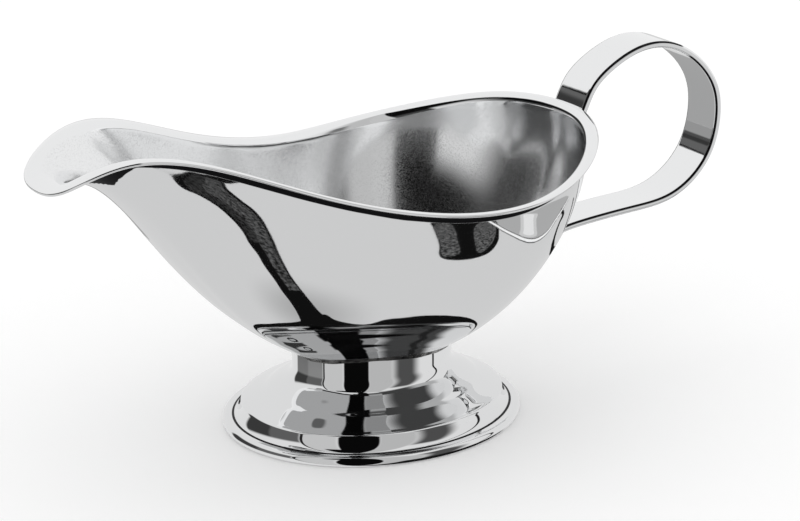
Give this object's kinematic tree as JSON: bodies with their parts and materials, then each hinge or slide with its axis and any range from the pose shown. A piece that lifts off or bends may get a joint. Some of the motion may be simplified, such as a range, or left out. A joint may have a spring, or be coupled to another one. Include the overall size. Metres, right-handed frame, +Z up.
{
  "type": "sauce boat",
  "caption": "Polished metal sauce boat: a boat-shaped bowl with a drawn pouring spout and turned-out rim, on an oval pedestal foot, with a flat strap loop handle at the back.",
  "frame": {"origin": "on the surface it stands on, under the middle of the whole boat from the spout tip to the back of the handle", "axes": "+X from the spout to the handle, +Y across the boat, to its right as seen from the handle, +Z up"},
  "size_m": [0.2248, 0.0962, 0.0966],
  "materials": {
    "bowl": "mirror-polished stainless steel",
    "foot": "mirror-polished stainless steel",
    "foot_braze_ring": "polished-over braze seam",
    "handle": "mirror-polished stainless steel",
    "upper_handle_weld": "ground weld seam",
    "lower_handle_weld": "ground weld seam"
  },
  "bodies": {
    "root": {"bowl": "bowl", "foot": "foot", "foot_braze_ring": "foot_braze_ring", "handle": "handle", "upper_handle_weld": "upper_handle_weld", "lower_handle_weld": "lower_handle_weld"}
  },
  "joints": []
}
